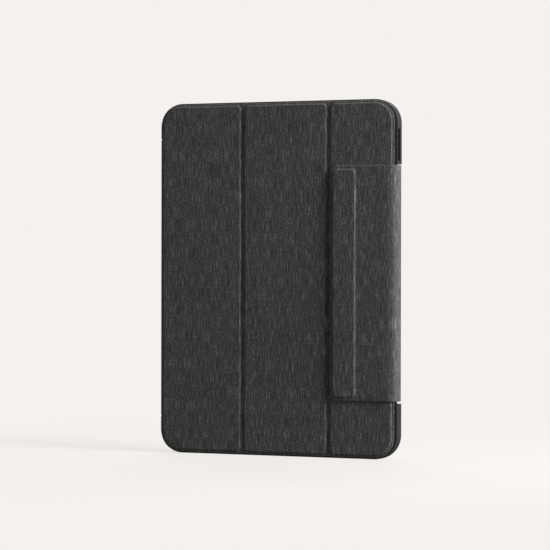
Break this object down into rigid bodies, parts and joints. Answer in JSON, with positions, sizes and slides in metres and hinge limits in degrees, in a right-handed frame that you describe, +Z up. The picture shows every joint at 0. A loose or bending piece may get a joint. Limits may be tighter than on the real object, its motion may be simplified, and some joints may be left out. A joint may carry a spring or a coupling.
{
  "type": "tablet keyboard case",
  "caption": "Closed fabric folio case for a tablet, with a folding front cover, a wrap-round closing flap, a moulded tray and a thin keyboard that docks on its back.",
  "frame": {"origin": "middle of the base of the closed case standing upright on its short edge", "axes": "+Z up along the case's height, +Y from the cover towards the keyboard on the back, +X to the right seen from the cover"},
  "size_m": [0.184, 0.0204, 0.253],
  "materials": {
    "heather_cloth": "matte heathered weave",
    "microfibre": "fine short nap",
    "tray_plastic": "fine satin texture",
    "soft_trim": "matte",
    "magnet_steel": "nickel plated",
    "stiff_board": "fibre board",
    "keyboard_case": "fine satin texture",
    "keycaps": "soft matte",
    "switch_plastic": "satin",
    "plate_metal": "bare",
    "membrane_film": "clear film",
    "board_green": "solder mask",
    "battery_foil": "foil pouch",
    "clear_lens": "clear"
  },
  "bodies": {
    "shell": {"tray_shell": "tray_plastic", "tray_lining": "microfibre", "camera_bezel": "soft_trim", "dock_magnets": "magnet_steel", "spine_anchor": "heather_cloth", "flap_anchor": "heather_cloth"},
    "spine": {"spine_fabric": "heather_cloth", "spine_board": "stiff_board", "spine_lining": "microfibre"},
    "panel_left": {"left_fabric": "heather_cloth", "left_board": "stiff_board", "left_lining": "microfibre", "left_magnets": "magnet_steel"},
    "panel_middle": {"middle_fabric": "heather_cloth", "middle_board": "stiff_board", "middle_lining": "microfibre", "middle_magnets": "magnet_steel"},
    "panel_right": {"right_fabric": "heather_cloth", "right_board": "stiff_board", "right_lining": "microfibre", "right_magnets": "magnet_steel"},
    "flap_side": {"flap_side_fabric": "heather_cloth", "flap_side_lining": "microfibre"},
    "flap_front": {"flap_front_fabric": "heather_cloth", "flap_front_lining": "microfibre", "flap_bar": "stiff_board", "flap_magnets": "magnet_steel"},
    "keyboard": {"keyboard_base": "keyboard_case", "keyboard_deck": "keyboard_case", "support_plate": "plate_metal", "switch_membrane": "membrane_film", "circuit_board": "board_green", "flex_tail": "membrane_film", "keyboard_battery": "battery_foil", "keyboard_magnets": "magnet_steel", "keyboard_feet": "soft_trim", "status_lens": "clear_lens", "charge_port": "plate_metal"},
    "power_slider": {"power_switch": "switch_plastic"},
    "pairing_key": {"pairing_button": "switch_plastic"},
    "body_function_keys": {"function_keys": "keycaps"},
    "body_number_keys": {"number_keys": "keycaps"},
    "body_upper_letter_keys": {"upper_letter_keys": "keycaps"},
    "body_home_letter_keys": {"home_letter_keys": "keycaps"},
    "body_lower_letter_keys": {"lower_letter_keys": "keycaps"},
    "body_modifier_keys": {"modifier_keys": "keycaps"},
    "body_backspace_key": {"backspace_key": "keycaps"},
    "body_tab_key": {"tab_key": "keycaps"},
    "body_backslash_key": {"backslash_key": "keycaps"},
    "body_caps_key": {"caps_key": "keycaps"},
    "body_enter_key": {"enter_key": "keycaps"},
    "body_left_shift_key": {"left_shift_key": "keycaps"},
    "body_right_shift_key": {"right_shift_key": "keycaps"},
    "body_space_bar": {"space_bar": "keycaps"},
    "body_left_arrow_key": {"left_arrow_key": "keycaps"},
    "body_right_arrow_key": {"right_arrow_key": "keycaps"},
    "body_up_arrow_key": {"up_arrow_key": "keycaps"},
    "body_down_arrow_key": {"down_arrow_key": "keycaps"}
  },
  "joints": [
    {"name": "spine_rear_hinge", "type": "hinge", "parent": "shell", "child": "spine", "pos_m": [-0.092, 0.00445, 0.127], "axis": [0, 0, -1], "range_deg": [0, 180]},
    {"name": "spine_front_hinge", "type": "hinge", "parent": "spine", "child": "panel_left", "pos_m": [-0.092, -0.00785, 0.127], "axis": [0, 0, -1], "range_deg": [0, 180]},
    {"name": "cover_fold_left", "type": "hinge", "parent": "panel_left", "child": "panel_middle", "pos_m": [-0.0261, -0.00695, 0.1265], "axis": [0, 0, 1], "range_deg": [-132, 0]},
    {"name": "cover_fold_right", "type": "hinge", "parent": "panel_middle", "child": "panel_right", "pos_m": [0.0405, -0.00695, 0.1265], "axis": [0, 0, 1], "range_deg": [-115, 0]},
    {"name": "flap_root_hinge", "type": "hinge", "parent": "shell", "child": "flap_side", "pos_m": [0.0887, 0.00465, 0.1233], "axis": [0, 0, 1], "range_deg": [0, 110]},
    {"name": "flap_front_hinge", "type": "hinge", "parent": "flap_side", "child": "flap_front", "pos_m": [0.0878, -0.00935, 0.1233], "axis": [0, 0, 1], "range_deg": [0, 90]},
    {"name": "keyboard_undock", "type": "slide", "parent": "shell", "child": "keyboard", "axis": [0, 1, 0], "range_m": [0, 0.1]},
    {"name": "power_switch_slide", "type": "slide", "parent": "keyboard", "child": "power_slider", "axis": [0, 0, 1], "range_m": [0, 0.0028]},
    {"name": "pairing_button_press", "type": "slide", "parent": "keyboard", "child": "pairing_key", "axis": [0, -1, 0], "range_m": [0, 0.0004], "stiffness_N_per_m": 1500},
    {"name": "function_keys_press", "type": "slide", "parent": "keyboard", "child": "body_function_keys", "axis": [0, -1, 0], "range_m": [0, 0.001], "stiffness_N_per_m": 600},
    {"name": "number_keys_press", "type": "slide", "parent": "keyboard", "child": "body_number_keys", "axis": [0, -1, 0], "range_m": [0, 0.001], "stiffness_N_per_m": 600},
    {"name": "upper_letter_keys_press", "type": "slide", "parent": "keyboard", "child": "body_upper_letter_keys", "axis": [0, -1, 0], "range_m": [0, 0.001], "stiffness_N_per_m": 600},
    {"name": "home_letter_keys_press", "type": "slide", "parent": "keyboard", "child": "body_home_letter_keys", "axis": [0, -1, 0], "range_m": [0, 0.001], "stiffness_N_per_m": 600},
    {"name": "lower_letter_keys_press", "type": "slide", "parent": "keyboard", "child": "body_lower_letter_keys", "axis": [0, -1, 0], "range_m": [0, 0.001], "stiffness_N_per_m": 600},
    {"name": "modifier_keys_press", "type": "slide", "parent": "keyboard", "child": "body_modifier_keys", "axis": [0, -1, 0], "range_m": [0, 0.001], "stiffness_N_per_m": 600},
    {"name": "backspace_key_press", "type": "slide", "parent": "keyboard", "child": "body_backspace_key", "axis": [0, -1, 0], "range_m": [0, 0.001], "stiffness_N_per_m": 600},
    {"name": "tab_key_press", "type": "slide", "parent": "keyboard", "child": "body_tab_key", "axis": [0, -1, 0], "range_m": [0, 0.001], "stiffness_N_per_m": 600},
    {"name": "backslash_key_press", "type": "slide", "parent": "keyboard", "child": "body_backslash_key", "axis": [0, -1, 0], "range_m": [0, 0.001], "stiffness_N_per_m": 600},
    {"name": "caps_key_press", "type": "slide", "parent": "keyboard", "child": "body_caps_key", "axis": [0, -1, 0], "range_m": [0, 0.001], "stiffness_N_per_m": 600},
    {"name": "enter_key_press", "type": "slide", "parent": "keyboard", "child": "body_enter_key", "axis": [0, -1, 0], "range_m": [0, 0.001], "stiffness_N_per_m": 600},
    {"name": "left_shift_key_press", "type": "slide", "parent": "keyboard", "child": "body_left_shift_key", "axis": [0, -1, 0], "range_m": [0, 0.001], "stiffness_N_per_m": 600},
    {"name": "right_shift_key_press", "type": "slide", "parent": "keyboard", "child": "body_right_shift_key", "axis": [0, -1, 0], "range_m": [0, 0.001], "stiffness_N_per_m": 600},
    {"name": "space_bar_press", "type": "slide", "parent": "keyboard", "child": "body_space_bar", "axis": [0, -1, 0], "range_m": [0, 0.001], "stiffness_N_per_m": 600},
    {"name": "left_arrow_key_press", "type": "slide", "parent": "keyboard", "child": "body_left_arrow_key", "axis": [0, -1, 0], "range_m": [0, 0.001], "stiffness_N_per_m": 600},
    {"name": "right_arrow_key_press", "type": "slide", "parent": "keyboard", "child": "body_right_arrow_key", "axis": [0, -1, 0], "range_m": [0, 0.001], "stiffness_N_per_m": 600},
    {"name": "up_arrow_key_press", "type": "slide", "parent": "keyboard", "child": "body_up_arrow_key", "axis": [0, -1, 0], "range_m": [0, 0.001], "stiffness_N_per_m": 600},
    {"name": "down_arrow_key_press", "type": "slide", "parent": "keyboard", "child": "body_down_arrow_key", "axis": [0, -1, 0], "range_m": [0, 0.001], "stiffness_N_per_m": 600}
  ],
  "couplings": [
    {"joint": "cover_fold_right", "follows": "cover_fold_left", "ratio": 0.866}
  ]
}
